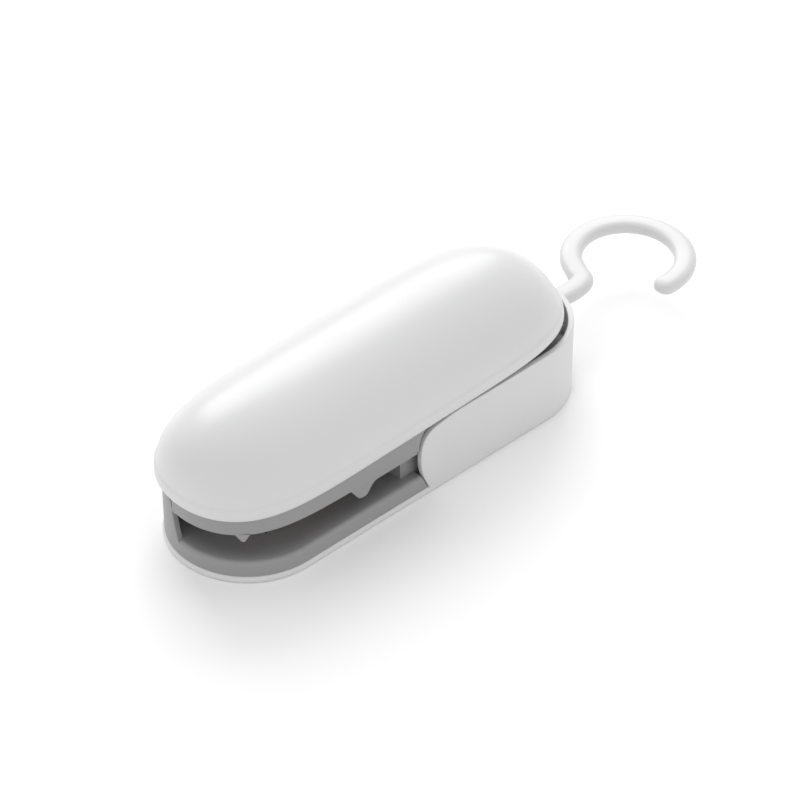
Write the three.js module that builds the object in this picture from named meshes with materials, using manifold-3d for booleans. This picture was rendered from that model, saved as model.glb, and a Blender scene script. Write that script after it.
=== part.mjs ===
// Handheld bag heat sealer, millimetres, +Z up.
// The origin is the centre of the underside. +X runs to the tail, where the hang hook is;
// -X is the nose. The jaws are open to a bag at the nose and along the -Y side.

import * as THREE from "three";
import { mergeVertices } from "three/addons/utils/BufferGeometryUtils.js";
import Module from "manifold-3d";

const wasm = await Module();
wasm.setup();

// ---- driving dimensions -------------------------------------------------------------

const GAP = 0.3;                  // clearance between pieces that touch
const WALL = 1.5;                 // moulded plastic wall

// Lower case: a stadium in plan, with a high wall round the tail and low rim at the nose.
const CASE = { length: 116.5, width: 40, floor: 1.9, rail: 3, tailTop: 20, cheek: -3.1 };
const CELL = { radius: 7.2, can: 49.3, nub: 1, nubRadius: 2.7, y: 7.4, z: 9.6, front: -1 };
const BAY = { front: -4.8, rear: 50.3, plate: 0.5, deckLow: 17.2, deckTop: 18.4 };
const DOOR = { front: -4.5, halfWidth: 15, plate: 1.3, tongueHalf: 16.1, tongueLow: 0.8 };

// Lower jaw: an edge lip round a flat deck, and a film-stop wall on the +Y side.
const JAW = { low: 2.2, deckLow: 3.4, deckTop: 5.2, lipTop: 6, lipWall: 2.2, guardTop: 15.8 };
const JAW_EDGE = 0.35;            // how far the lower jaw stands in from the case's outline
const JAW_INSIDE = WALL + 0.7;    // outline of everything on the jaw that is inside the case
const SIDE_WALL = { y: -16.6, width: 1.2, turn: 0.2, end: 1.4 };
const HEATER = { x0: -41, x1: -18, y: -5.2, width: 7, low: 4.5, top: 8, strip: 2.4 };

// The upper jaw turns on the pin; it is open at rest and closes through this angle.
const PIN = { x: 48.6, z: 18.8, radius: 1.2, halfLength: 13.8, lug: 2.1 };
const CASE_LUG = { y: 11.6, width: 1.5 };
const UPPER_LUG = { y: 9.1, width: 2.1 };
const CLOSE = THREE.MathUtils.degToRad(1.5);
const COVER = { length: 114, width: 41.6, x: -2.55, noseRim: 19.05, rise: 0.0313, lip: 1, dome: 17.5 };
const FRAME = { open: 1.1, wall: 2.2, guard: 2.3, bottom: 14.2, plateLow: 16.6, rearLow: 20.6, sheet: 1.4 };
const FRAME_TAIL = { end: 51.6, notch: 45.6, half: 11.3 };   // rear plate, narrowed at the lugs
const DECK_TAIL = { end: 50.8, notch: 45.8, half: 11.5 };    // deck over the cells, cut for them
const SPLIT = { open: 3.2, guard: 2.6 };                     // the upper frame's two halves meet
const CHEEK_INSIDE = CASE.width / 2 - WALL - 0.4;            // what fits between the high walls
const FAR = 70;                                              // past the end of any piece
const PAD = { bottom: 8.65, top: 10.6, width: 6, holderWidth: 8.4 };

const SWITCH = { x: -13, y: 6, length: 8, width: 7, top: 11.2, stemTop: 13.9, stemRadius: 1.6 };
const SPRING = { x: -12, y: -3.5, radius: 2.8, wire: 0.35, turns: 5, low: 5.7, top: 16.1 };
const LEAD = { radius: 0.5, hole: 1.05, low: 2.6 };
const HOOK = { x: 85.9, radius: 14.05, half: 2.8, bar: 1.75, z: 13.3, start: 146, tip: -96, root: 53.4 };
const COVER_WALL = 1.5;
const plateTop = (x) => (x < BAY.front ? FRAME.plateLow : FRAME.rearLow) + FRAME.sheet;
const SCREW = { radius: 1.25, head: 2.3, headHeight: 1 };
const BASE_SCREWS = [[-51.5, 1], [-32, 13], [-11, -13], [-11, 13]];
const COVER_SCREWS = [[-36, 9], [40, -8], [40, 8]];

// ---- finishes -----------------------------------------------------------------------

const finish = (color, roughness, metalness = 0) =>
  new THREE.MeshStandardMaterial({ color, roughness, metalness });

const white = finish(0xf2f2f2, 0.25);
const grey = finish(0xa2a3a5, 0.45);
const steel = finish(0xb9bcc0, 0.3, 1);
const black = finish(0x1d1e20, 0.5);
const red = finish(0xb5261e, 0.5);
const silicone = finish(0x8f3a2c, 0.7);
const tape = finish(0x9a7a52, 0.6);
const phenolic = finish(0x3b342e, 0.7);
const cellSkin = finish(0x2f5f8f, 0.35);

// ---- solids: closed meshes joined and cut -------------------------------------------

function toSolid(geometry) {
  const bare = geometry.index ? geometry.toNonIndexed() : geometry.clone();
  for (const name of Object.keys(bare.attributes)) {
    if (name !== "position") bare.deleteAttribute(name);
  }
  const merged = mergeVertices(bare, 1e-4);
  return new wasm.Manifold(new wasm.Mesh({
    numProp: 3,
    vertProperties: new Float32Array(merged.attributes.position.array),
    triVerts: new Uint32Array(merged.index.array),
  }));
}

function toGeometry(solid) {
  const mesh = solid.getMesh();
  const geometry = new THREE.BufferGeometry();
  geometry.setAttribute("position", new THREE.BufferAttribute(mesh.vertProperties, 3));
  geometry.setIndex(new THREE.BufferAttribute(mesh.triVerts, 1));
  return geometry.toNonIndexed();
}

const join = (...solids) => solids.reduce((all, next) => all.add(next));
const cut = (solid, ...tools) => tools.reduce((left, tool) => left.subtract(tool), solid);

// A box from its low to its high corner.
function box(x0, y0, z0, x1, y1, z1) {
  const geometry = new THREE.BoxGeometry(x1 - x0, y1 - y0, z1 - z0);
  return toSolid(geometry.translate((x0 + x1) / 2, (y0 + y1) / 2, (z0 + z1) / 2));
}

// A cylinder that starts at a point and runs along an axis.
function rod(axis, start, length, radius, sides = 24) {
  const geometry = new THREE.CylinderGeometry(radius, radius, length, sides);
  geometry.translate(0, length / 2, 0);
  if (axis === "x") geometry.rotateZ(-Math.PI / 2);
  if (axis === "z") geometry.rotateX(Math.PI / 2);
  return toSolid(geometry.translate(...start));
}

const flat = (points) => new THREE.Shape(points.map(([u, v]) => new THREE.Vector2(u, v)));
const thicken = (points, depth) =>
  new THREE.ExtrudeGeometry(flat(points), { depth, bevelEnabled: false });

// A plan outline, [x, y] points, raised from z0 to z1.
const raise = (points, z0, z1) => toSolid(thicken(points, z1 - z0).translate(0, 0, z0));

// A side outline, [x, z] points, widened from y0 to y1.
const widen = (points, y0, y1) =>
  toSolid(thicken(points, y1 - y0).rotateX(Math.PI / 2).translate(0, y1, 0));

// An end outline, [y, z] points, lengthened from x0 to x1.
const lengthen = (points, x0, x1) =>
  toSolid(thicken(points, x1 - x0).rotateX(Math.PI / 2).rotateZ(Math.PI / 2).translate(x0, 0, 0));

// Closed rings of [x, y, z] points at rising heights, skinned into one solid.
function loft(rings) {
  const count = rings[0].length;
  const positions = rings.flat(2);
  const index = [];
  for (let ring = 0; ring + 1 < rings.length; ring += 1) {
    for (let i = 0; i < count; i += 1) {
      const a = ring * count + i;
      const b = ring * count + ((i + 1) % count);
      index.push(a, b, b + count, a, b + count, a + count);
    }
  }
  const middle = (ring) => [0, 1, 2].map((k) => ring.reduce((sum, p) => sum + p[k], 0) / count);
  const low = positions.length / 3;
  const last = (rings.length - 1) * count;
  positions.push(...middle(rings[0]), ...middle(rings.at(-1)));
  for (let i = 0; i < count; i += 1) {
    const next = (i + 1) % count;
    index.push(low, next, i);
    index.push(low + 1, last + i, last + next);
  }
  const geometry = new THREE.BufferGeometry();
  geometry.setAttribute("position", new THREE.Float32BufferAttribute(positions, 3));
  geometry.setIndex(index);
  return toSolid(geometry);
}

// A bar swept along a three.js curve: round, or on a level curve, an oval with its own width.
function bar(path, radius, steps, sides = 8, halfWidth = radius) {
  const ring = [];
  for (let i = 0; i < sides; i += 1) {
    const angle = (2 * Math.PI * i) / sides;
    ring.push([radius * Math.cos(angle), halfWidth * Math.sin(angle)]);
  }
  return toSolid(new THREE.ExtrudeGeometry(flat(ring), { extrudePath: path, steps }));
}

const smoothPath = (points) =>
  new THREE.CatmullRomCurve3(points.map((p) => new THREE.Vector3(...p)), false, "centripetal");

// A coil about an axis through the origin, along +Z.
class Coil extends THREE.Curve {
  constructor(radius, height, turns) {
    super();
    Object.assign(this, { radius, height, turns });
  }

  getPoint(t, target = new THREE.Vector3()) {
    const angle = 2 * Math.PI * this.turns * t;
    const { radius, height } = this;
    return target.set(radius * Math.cos(angle), radius * Math.sin(angle), height * t);
  }
}

// ---- outlines -----------------------------------------------------------------------

// Straight sides with round ends, inset from the case's outline.
function stadium(inset, arcSteps = 14) {
  const radius = CASE.width / 2 - inset;
  const centre = (CASE.length - CASE.width) / 2;
  const points = [];
  for (const end of [1, -1]) {
    for (let i = 0; i <= arcSteps; i += 1) {
      const angle = Math.PI * (i / arcSteps - 0.5);
      points.push([end * (centre + radius * Math.cos(angle)), end * radius * Math.sin(angle)]);
    }
  }
  return points;
}

// The cover's outline, a superellipse: blunt at both ends and full along the sides.
// nose, tail and side shrink it on the way up the dome.
function coverOutline(inset, { nose = 1, tail = 1, side = 1, power = 6 } = {}, count = 48) {
  const a = COVER.length / 2 - inset;
  const b = COVER.width / 2 - inset;
  const points = [];
  for (let i = 0; i < count; i += 1) {
    const angle = (2 * Math.PI * i) / count;
    const c = Math.cos(angle);
    const x = a * Math.sign(c) * Math.abs(c) ** (2 / power) * (c < 0 ? nose : tail);
    points.push([COVER.x + x, b * side * Math.sin(angle)]);
  }
  return points;
}

// Height of the cover's lower edge, which climbs towards the tail.
const rimHeight = (x) => COVER.noseRim + (x + CASE.length / 2) * COVER.rise;

// The dome as a solid, inset from its outer skin, standing on the cover's lower edge.
function domeSolid(inset, lower = 0) {
  const rings = [coverOutline(inset).map(([x, y]) => [x, y, rimHeight(x) - lower])];
  const height = COVER.dome - inset;
  for (const t of [0, 0.2, 0.42, 0.62, 0.78, 0.9, 0.97]) {
    const shrink = {
      nose: (1 - t ** 3) ** (1 / 6),
      tail: (1 - t ** 1.35) ** (1 / 6),
      side: (1 - t ** 1.9) ** (1 / 2),
      power: 6 - t,
    };
    const lift = COVER.lip + height * t;
    rings.push(coverOutline(inset, shrink).map(([x, y]) => [x, y, rimHeight(x) + lift]));
  }
  return loft(rings);
}

// Side view of the case's high wall: a round front edge that leans into a sloping shoulder.
function cheekProfile(forward = 0, up = 0) {
  const x = CASE.cheek;
  const top = CASE.tailTop;
  const shape = new THREE.Shape();
  shape.moveTo(x + 3.6, 0);
  shape.bezierCurveTo(x + 2.2, 3.4, x, 6.4, x, 11);
  shape.bezierCurveTo(x, 15.6, x + 0.9, 17.6, x + 4.4, top - 1);
  shape.bezierCurveTo(x + 6.4, top - 0.7, x + 10, top, x + 14, top);
  shape.lineTo(CASE.length, top);
  shape.lineTo(CASE.length, 0);
  return shape.getPoints(6).map((p) => [p.x - forward, p.y + up]);
}

// ---- lower case ---------------------------------------------------------------------

function baseShell() {
  const { floor, rail, tailTop } = CASE;
  const wall = cut(raise(stadium(0), 1, tailTop), raise(stadium(WALL), 0, tailTop + 1));
  const inside = raise(stadium(WALL - 0.1), 1, rail);
  const rails = box(-0.3, -20, 1, 60, 20, rail);
  const bulkhead = box(BAY.rear + GAP, -12, 1, BAY.rear + WALL, 12, 15.5);
  const parts = [
    raise(stadium(0), 0, floor),
    wall.intersect(widen(cheekProfile(), -25, 25)),
    inside.intersect(rails),
    bulkhead,
  ];
  for (const [x, y] of BASE_SCREWS) parts.push(rod("z", [x, y, 1], 1.6, 3.2));
  const half = DOOR.halfWidth + GAP;
  const grooveHalf = DOOR.tongueHalf + GAP;
  const doorway = join(
    box(BAY.front, -half, -1, BAY.rear, half, rail + 1),
    box(BAY.front + 2, -half, -1, 60, half, DOOR.plate + GAP),
    box(BAY.front + 1, -grooveHalf, DOOR.tongueLow - 0.2, 60, grooveHalf, DOOR.plate + GAP - 0.05),
  );
  const cuts = [doorway, rod("x", [53, 0, HOOK.z], 10, HOOK.bar + GAP)];
  for (const [x, y] of BASE_SCREWS) {
    cuts.push(rod("z", [x, y, -1], 5, SCREW.radius + GAP, 16));
    cuts.push(rod("z", [x, y, -1], 2.3, SCREW.head + GAP));
  }
  return cut(join(...parts), ...cuts);
}

// The hatch slides out of the tail end; ribs across its outer end give grip to a thumb.
function batteryDoor() {
  const { front, halfWidth, plate, tongueHalf, tongueLow } = DOOR;
  const blank = join(
    box(front, -halfWidth, 0, 60, halfWidth, plate),
    box(front + 1, -tongueHalf, tongueLow, 60, tongueHalf, plate - 0.05),
  );
  const grips = [];
  for (let i = 0; i < 5; i += 1) grips.push(box(40 + 2.4 * i, -7, -1, 41.2 + 2.4 * i, 7, 0.4));
  return cut(blank.intersect(raise(stadium(0), -1, 3)), ...grips);
}

// Two lugs, one on each side, with their feet at one height and round the pin at the other end.
function lugPair({ y, width }, footZ) {
  return [-y - width, y].map((start) => join(
    rod("y", [PIN.x, start, PIN.z], width, PIN.lug, 20),
    box(PIN.x - PIN.lug, start, Math.min(footZ, PIN.z), PIN.x + PIN.lug, start + width,
      Math.max(footZ, PIN.z)),
  ));
}

// The edge lip, stepped so that its top is rounded, and the film stop on the far side.
function jawRim() {
  const { low, deckLow, lipTop, lipWall, guardTop } = JAW;
  const lip = join(
    raise(stadium(JAW_EDGE), low, lipTop - 1),
    raise(stadium(JAW_EDGE + 0.35), low, lipTop - 0.4),
    raise(stadium(JAW_EDGE + 1), low, lipTop),
  );
  const ring = cut(lip, raise(stadium(JAW_EDGE + lipWall), 0, 20));
  const guardEnd = [[1, deckLow], [2.6, 7], [3.8, 11], [4.6, guardTop], [21, guardTop], [21, deckLow]];
  const guard = cut(
    raise(stadium(JAW_EDGE), deckLow, guardTop),
    raise(stadium(JAW_EDGE + 1.4), 0, 20),
  );
  return cut(join(ring, guard.intersect(lengthen(guardEnd, -60, 4))), widen(cheekProfile(GAP), -25, 25));
}

function lowerJawFrame() {
  const { deckLow, deckTop } = JAW;
  const inner = stadium(JAW_INSIDE);
  const rear = BAY.front - GAP;
  const deck = raise(inner, deckLow, deckTop).intersect(box(-60, -20, 0, rear, 20, 9));
  const bulkhead = raise(inner, deckLow, BAY.deckTop)
    .intersect(box(rear - WALL, SIDE_WALL.y, 0, rear, 20, 30));
  const bayDeck = raise(inner, BAY.deckLow, BAY.deckTop)
    .intersect(box(BAY.front - 1, -20, 0, DECK_TAIL.end, 20, 30));
  const hingeNotch = box(DECK_TAIL.notch, -DECK_TAIL.half, 0, 60, DECK_TAIL.half, 30);
  // From the bulkhead's end a wall runs back beside the cells, then turns out to the case.
  const { y: wallOutside, width, turn, end } = SIDE_WALL;
  const wallInside = wallOutside + width;
  const sideWall = join(
    box(rear - 1, wallOutside, deckLow, end, wallInside, BAY.deckTop),
    box(turn, JAW_INSIDE - CASE.width / 2, deckLow, end, wallInside, BAY.deckTop),
  );
  const parts = [
    jawRim(), deck, bulkhead, sideWall,
    cut(bayDeck, hingeNotch),
    rod("z", [SPRING.x, SPRING.y, deckTop - 0.5], 3, SPRING.radius - 0.9, 16),
  ];
  for (const [x, y] of BASE_SCREWS) parts.push(rod("z", [x, y, deckLow - 0.5], 1.5, 3.2));
  for (const lug of lugPair(CASE_LUG, BAY.deckLow)) parts.push(lug.intersect(raise(inner, 0, 30)));
  const cuts = [
    rod("y", [PIN.x, -20, PIN.z], 40, PIN.radius + GAP, 16),
    box(HEATER.x0 - GAP, HEATER.y - HEATER.width / 2 - GAP, deckTop - 1,
      HEATER.x1 + GAP, HEATER.y + HEATER.width / 2 + GAP, 20),
    rod("z", [HEATER.x0 - 1.6, HEATER.y, 0], 9, LEAD.hole, 12),
    rod("z", [HEATER.x1 + 1.6, HEATER.y, 0], 9, LEAD.hole, 12),
    rod("z", [SWITCH.x, SWITCH.y - 2, 0], 9, LEAD.hole, 12),
    rod("z", [SWITCH.x, SWITCH.y + 2, 0], 9, LEAD.hole, 12),
  ];
  for (const [x, y] of BASE_SCREWS) cuts.push(rod("z", [x, y, 0], 4.9, SCREW.radius + GAP, 16));
  return cut(join(...parts), ...cuts);
}

// ---- power: cells, contacts and leads -------------------------------------------------

// A cell lies along X. The left one has its nub to the tail, the right one to the nose.
function cell(side) {
  const front = side < 0 ? CELL.front : CELL.front - 1.5;
  const can = rod("x", [front, side * CELL.y, CELL.z], CELL.can, CELL.radius, 32);
  const nubStart = side < 0 ? front + CELL.can - 0.2 : front - CELL.nub;
  return can.add(rod("x", [nubStart, side * CELL.y, CELL.z], CELL.nub + 0.2, CELL.nubRadius, 20));
}

const contactPlate = (x, y0, y1) => box(x, y0, 4, x + BAY.plate, y1, 15);

// Each lead starts under its terminal, runs below the jaw deck and comes up through a hole.
const lead = (points, steps) => bar(smoothPath(points), LEAD.radius, steps);

function leadNegative() {
  const end = HEATER.x1 + 1.6;
  const { low } = LEAD;
  return lead([
    [-4.2, -CELL.y, 3.7], [-4.4, -CELL.y, 2.9], [-6, -7.2, low], [-12, -5.9, low],
    [end + 1, HEATER.y, low + 0.1], [end, HEATER.y, 4], [end, HEATER.y, 7.4],
  ], 20);
}

function leadPositive() {
  const { low } = LEAD;
  const y = SWITCH.y + 2;
  return lead([
    [-4.2, CELL.y, 3.7], [-4.4, CELL.y, 2.9], [-6, 7.6, low], [-10, y, low],
    [SWITCH.x + 1, y, low + 0.1], [SWITCH.x, y, 3.6], [SWITCH.x, y, 5.3],
  ], 18);
}

function leadHeater() {
  const end = HEATER.x0 - 1.6;
  const { low } = LEAD;
  const y = SWITCH.y - 2;
  return lead([
    [SWITCH.x, y, 5.3], [SWITCH.x, y, 3.8], [SWITCH.x - 1, y, low + 0.1], [-18, 3.4, low],
    [-28, 0.8, low], [-37.5, -4, low], [end + 1, HEATER.y + 0.2, low + 0.1], [end, HEATER.y, 4],
    [end, HEATER.y, 7.4],
  ], 32);
}

// ---- sealing: heater, switch and return spring ----------------------------------------

const heaterBox = (x0, x1, width, z0, z1) =>
  box(x0, HEATER.y - width / 2, z0, x1, HEATER.y + width / 2, z1);

function heaterBlock() {
  const { x0, x1, width, low, top } = HEATER;
  const shoulder = heaterBox(x0, x1, width, low, top - 1.2);
  return join(shoulder, heaterBox(x0, x1, width - 2, low, top));
}

// The ribbon runs over the block and down both of its ends.
function heatingStrip() {
  const { x0, x1, strip, top } = HEATER;
  const z0 = top + 0.1;
  const z1 = z0 + 0.2;
  return join(
    heaterBox(x0 - 0.4, x1 + 0.4, strip, z0, z1),
    heaterBox(x0 - 0.4, x0 - 0.15, strip, 6.4, z1),
    heaterBox(x1 + 0.15, x1 + 0.4, strip, 6.4, z1),
  );
}

function heaterCover() {
  const { x0, x1, width, top } = HEATER;
  const skin = heaterBox(x0 + 1, x1 - 1, width - 1.4, top - 1, top + 0.55);
  return cut(skin, heaterBox(x0, x1, width - 1.8, 0, top + 0.4));
}

function switchBody() {
  const { x, y, length, width, top, stemRadius } = SWITCH;
  const body = box(x - length / 2, y - width / 2, JAW.deckTop + GAP, x + length / 2, y + width / 2, top);
  return cut(body, rod("z", [x, y, 6.6], 9, stemRadius + GAP));
}

function switchPlunger() {
  const { x, y, stemTop, stemRadius } = SWITCH;
  return rod("z", [x, y, 8.6], stemTop - 8.6, stemRadius);
}

function returnSpring() {
  const coil = new Coil(SPRING.radius, SPRING.top - SPRING.low, SPRING.turns);
  return bar(coil, SPRING.wire, SPRING.turns * 12, 5).translate([SPRING.x, SPRING.y, SPRING.low]);
}

function contactSpring(x0, x1, y) {
  const coil = new Coil(3.2, x1 - x0, 3);
  return bar(coil, 0.3, 30, 5).rotate([0, 90, 0]).translate([x0, y, CELL.z]);
}

// ---- upper jaw ------------------------------------------------------------------------

// The inside of the cover is hollow down to the posts that take its screws.
function topCover() {
  const hollow = domeSolid(COVER_WALL, 2);
  const posts = COVER_SCREWS.map(([x, y]) => {
    const start = plateTop(x) + GAP;
    return cut(rod("z", [x, y, start], 30, 3), rod("z", [x, y, start - 1], 9, SCREW.radius + GAP, 16));
  });
  const shell = cut(domeSolid(0), hollow);
  return join(shell, ...posts.map((post) => post.intersect(domeSolid(0.7))));
}

// On the open side the frame follows the cover; on the guard side it stays inside the wall.
function jawOutline(open, guard, z0, z1) {
  return join(
    raise(coverOutline(open), z0, z1).intersect(box(-FAR, -30, z0, FAR, SPLIT.open, z1)),
    raise(stadium(guard), z0, z1).intersect(box(-FAR, SPLIT.guard, z0, FAR, 30, z1)),
  );
}

// A tooth on the long side and a pip at the nose catch the film when the jaws close. The skirt
// is a little deeper from the tooth to the tail.
function filmTooth() {
  const { bottom } = FRAME;
  const outline = [
    [-24.9, bottom + 0.6], [-24.5, bottom], [-22.2, bottom - 3.2], [-21.6, bottom - 3.5],
    [-20.3, bottom - 3.6], [-19.4, bottom - 3.3], [-18.2, bottom - 1.6], [-17, bottom - 0.7],
    [-3.9, bottom - 0.6], [-3.9, bottom + 0.6],
  ];
  return widen(outline, -19.5, -17.9);
}

function nosePip() {
  const { bottom } = FRAME;
  return loft([
    [[-52.4, -13.8, bottom - 1.7], [-51.9, -14.3, bottom - 1.7], [-51.5, -13.7, bottom - 1.7]],
    [[-53.6, -12.6, bottom + 0.5], [-51.2, -15.3, bottom + 0.5], [-50, -12.6, bottom + 0.5]],
  ]);
}

function upperJawFrame() {
  const { open, wall, guard, bottom, plateLow, rearLow, sheet } = FRAME;
  const rearTop = rearLow + sheet;
  const step = BAY.front - GAP - WALL - 1;
  const skirt = cut(
    jawOutline(open, guard, bottom, 23),
    jawOutline(open + wall, guard + 1.6, bottom - 1, 24),
  );
  const web = raise(coverOutline(open), bottom, plateLow + 1).intersect(box(-60, 1.8, 0, -54, 2.9, 30));
  const frontPlate = jawOutline(open + 1.5, guard + 0.7, plateLow, plateLow + sheet)
    .intersect(box(-FAR, -30, 0, step, 30, 30));
  const rearPlate = raise(stadium(guard + 0.1), rearLow, rearTop)
    .intersect(box(step - 2, -30, 0, FRAME_TAIL.end, 30, 30));
  const riser = jawOutline(open + 1.5, guard + 0.7, plateLow + 0.1, rearLow + 1)
    .intersect(box(step - 1.5, -17.4, 0, step - 0.05, 30, 30));
  const lugs = lugPair(UPPER_LUG, rearLow + 0.4);
  const pusher = rod("z", [SWITCH.x, SWITCH.y, bottom], plateLow - bottom + 0.5, 2.6);
  const seat = rod("z", [SPRING.x, SPRING.y, plateLow - 2.4], 3, SPRING.radius - 0.9, 16);
  const aboveRim = [[-FAR, rimHeight(-FAR) - GAP], [FAR, rimHeight(FAR) - GAP], [FAR, 40], [-FAR, 40]];
  const coverZone = cut(
    widen(aboveRim, -30, 30),
    raise(coverOutline(COVER_WALL + GAP), 0, 41),
  );
  const cuts = [
    box(step, -CHEEK_INSIDE, 0, FAR, 30, rearLow),
    box(CASE.cheek + 6, -30, 0, FAR, 30, rearLow),
    cut(widen(cheekProfile(0.6, 1.8), -30, 30), box(-FAR, -CHEEK_INSIDE, 0, FAR, CHEEK_INSIDE, 60)),
    coverZone,
    box(-FAR, -30, rearTop + 0.2, FAR, 30, 40),
    box(FRAME_TAIL.end, -30, 0, FAR, 30, 40),
    box(FRAME_TAIL.notch, FRAME_TAIL.half, 0, FAR, 30, 40),
    box(FRAME_TAIL.notch, -30, 0, FAR, -FRAME_TAIL.half, 40),
    rod("y", [PIN.x, -20, PIN.z], 40, PIN.radius + GAP, 16),
  ];
  for (const [x, y] of COVER_SCREWS) cuts.push(rod("z", [x, y, 0], 40, SCREW.radius + GAP, 16));
  return cut(
    join(skirt, web, frontPlate, riser, rearPlate, ...lugs, pusher, seat, filmTooth(), nosePip()),
    ...cuts,
  );
}

// The pad and its holder are drawn closed, parallel to the heater, then opened with the jaw.
// The holder's top slopes, so that it lies against the upper frame's level plate.
function padHolder() {
  const { bottom, top, width, holderWidth } = PAD;
  const x0 = HEATER.x0 - 1;
  const x1 = HEATER.x1 + 1;
  const low = bottom + 1.1;
  const underPlate = (x) => FRAME.plateLow - 0.05 - (PIN.x - x) * Math.tan(CLOSE);
  const outline = [[x0, low], [x1, low], [x1, underPlate(x1)], [x0, underPlate(x0)]];
  const block = widen(outline, HEATER.y - holderWidth / 2, HEATER.y + holderWidth / 2);
  return cut(block, heaterBox(HEATER.x0 - 0.5, HEATER.x1 + 0.5, width + 2 * GAP, 0, top + GAP));
}

const siliconePad = () =>
  heaterBox(HEATER.x0, HEATER.x1, PAD.width, PAD.bottom, PAD.top);

// ---- screws and hook ------------------------------------------------------------------

// A pan-head screw, head down, with a cross recess in the head.
function screw(x, y, z, length) {
  const { radius, head, headHeight } = SCREW;
  const body = join(
    rod("z", [x, y, z], headHeight, head),
    rod("z", [x, y, z + headHeight - 0.1], length, radius, 16),
  );
  return cut(
    body,
    box(x - 1.5, y - 0.3, z - 1, x + 1.5, y + 0.3, z + 0.6),
    box(x - 0.3, y - 1.5, z - 1, x + 0.3, y + 1.5, z + 0.6),
  );
}

// The shank leaves the tail wall, bends back and runs into most of a circle.
function hookPath() {
  const { x, radius, z, start, tip } = HOOK;
  const points = [[58.4, 0, z], [63, 0, z], [67.4, 0, z], [70.9, 1.1, z], [72.3, 4.1, z]];
  const arcSteps = 20;
  for (let i = 0; i <= arcSteps; i += 1) {
    const angle = THREE.MathUtils.degToRad(start + ((tip - start) * i) / arcSteps);
    points.push([x + radius * Math.cos(angle), radius * Math.sin(angle), z]);
  }
  return points;
}

// The hook's tip is a flattened ball that ends the oval bar.
function hook() {
  const { x, radius, z, tip, root, half, bar: thickness } = HOOK;
  const end = THREE.MathUtils.degToRad(tip);
  const ball = new THREE.SphereGeometry(half - 0.06, 14, 9).scale(1, thickness / half, 1).rotateX(Math.PI / 2);
  ball.translate(x + radius * Math.cos(end), radius * Math.sin(end), z);
  const shank = rod("x", [root, 0, z], 58.6 - root, thickness, 16);
  const groove = cut(rod("x", [54.9, 0, z], 1.1, 4), rod("x", [54, 0, z], 3, thickness - 0.7, 16));
  const sweep = bar(smoothPath(hookPath()), thickness, 44, 12, half);
  return cut(join(sweep, toSolid(ball), shank), groove);
}

function hookClip() {
  const { z, bar: thickness } = HOOK;
  const ring = cut(rod("x", [55.2, 0, z], 0.5, 4), rod("x", [54, 0, z], 3, thickness - 0.4, 16));
  return cut(ring, box(54, -1.2, z, 57, 1.2, z + 6));
}

// ---- the assembly ---------------------------------------------------------------------

const sealer = new THREE.Group();

function add(name, solid, material, parent = sealer) {
  const mesh = new THREE.Mesh(toGeometry(solid), material);
  mesh.name = name;
  parent.add(mesh);
  return mesh;
}

add("base_shell", baseShell(), white);
add("lower_jaw_frame", lowerJawFrame(), grey);
add("battery_door", batteryDoor(), white);
add("hinge_pin", rod("y", [PIN.x, -PIN.halfLength, PIN.z], 2 * PIN.halfLength, PIN.radius, 16), steel);
BASE_SCREWS.forEach(([x, y], i) => add(`base_screw_${i + 1}`, screw(x, y, 0.15, 3.6), steel));

add("battery_left", cell(-1), cellSkin);
add("battery_right", cell(1), cellSkin);
add("contact_plate_negative", contactPlate(BAY.front + GAP, -12, -2.6), steel);
add("contact_plate_positive", contactPlate(BAY.front + GAP, 2.6, 12), steel);
add("contact_bridge", contactPlate(BAY.rear - BAY.plate - GAP, -11.5, 11.5), steel);
add("contact_spring_front", contactSpring(-3.6, -1.4, -CELL.y), steel);
add("contact_spring_rear", contactSpring(47.2, 49.1, CELL.y), steel);

add("lead_negative", leadNegative(), black);
add("lead_positive", leadPositive(), red);
add("lead_heater", leadHeater(), red);

add("heater_block", heaterBlock(), phenolic);
add("heating_strip", heatingStrip(), steel);
add("heater_cover", heaterCover(), tape);
add("switch_body", switchBody(), black);
add("switch_plunger", switchPlunger(), red);
add("return_spring", returnSpring(), steel);

add("top_cover", topCover(), white);
add("upper_jaw_frame", upperJawFrame(), grey);
COVER_SCREWS.forEach(([x, y], i) =>
  add(`cover_screw_${i + 1}`, screw(x, y, plateTop(x) - FRAME.sheet - 1.2, 7), steel));

const openedJaw = new THREE.Group();
openedJaw.position.set(PIN.x, 0, PIN.z);
openedJaw.rotation.y = CLOSE;
const closedPose = new THREE.Group();
closedPose.position.set(-PIN.x, 0, -PIN.z);
openedJaw.add(closedPose);
sealer.add(openedJaw);
add("pad_holder", padHolder(), grey, closedPose);
add("silicone_pad", siliconePad(), silicone, closedPose);

add("hook", hook(), white);
add("hook_clip", hookClip(), steel);

export default sealer;
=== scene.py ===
"""Handheld bag heat sealer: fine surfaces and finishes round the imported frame.

Lengths in this script are millimetres; MM turns them into Blender's metres when a mesh is made.
"""
import math

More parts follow.
